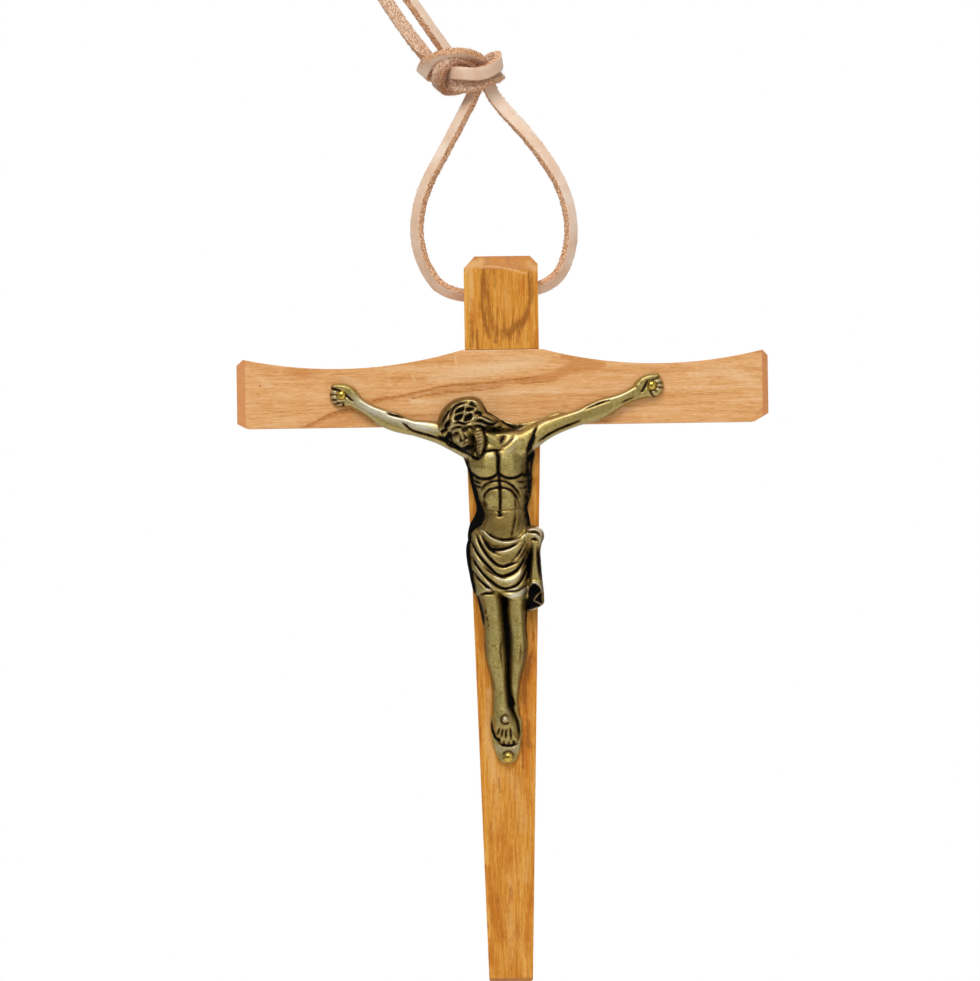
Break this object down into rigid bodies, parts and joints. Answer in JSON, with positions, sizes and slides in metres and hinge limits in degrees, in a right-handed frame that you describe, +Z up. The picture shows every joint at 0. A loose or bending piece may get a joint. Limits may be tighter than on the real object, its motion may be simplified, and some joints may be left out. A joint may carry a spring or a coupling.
{
  "type": "crucifix",
  "caption": "Wooden wall crucifix with a cast antique-brass corpus held by domed brass nails, hanging from a knotted leather loop.",
  "frame": {"origin": "where a wall hook carries the leather loop: inside the loop, just under its knot, in the middle of the wood's thickness", "axes": "+X to the viewer's right along the crossbar, +Y out of the back towards the wall, +Z up along the post"},
  "size_m": [0.1314, 0.0223, 0.2546],
  "materials": {
    "post_wood": "oiled, knife-cut ends",
    "bar_wood": "oiled, knife-cut ends",
    "antique_brass": "blackened in the recesses, rubbed bright on the heights",
    "bright_brass": "bright",
    "thong_leather": "smooth grain side, rough flesh side"
  },
  "bodies": {
    "thong": {"thong_left": "thong_leather", "thong_right": "thong_leather"},
    "cross": {"post": "post_wood", "crossbar": "bar_wood", "corpus": "antique_brass", "left_hand_nail": "bright_brass", "right_hand_nail": "bright_brass", "foot_nail": "bright_brass"}
  },
  "joints": [
    {"name": "cross_swing", "type": "hinge", "parent": "thong", "child": "cross", "pos_m": [0.0035, 0, -0.0453], "axis": [1, 0, 0], "range_deg": [-125, 125]}
  ]
}
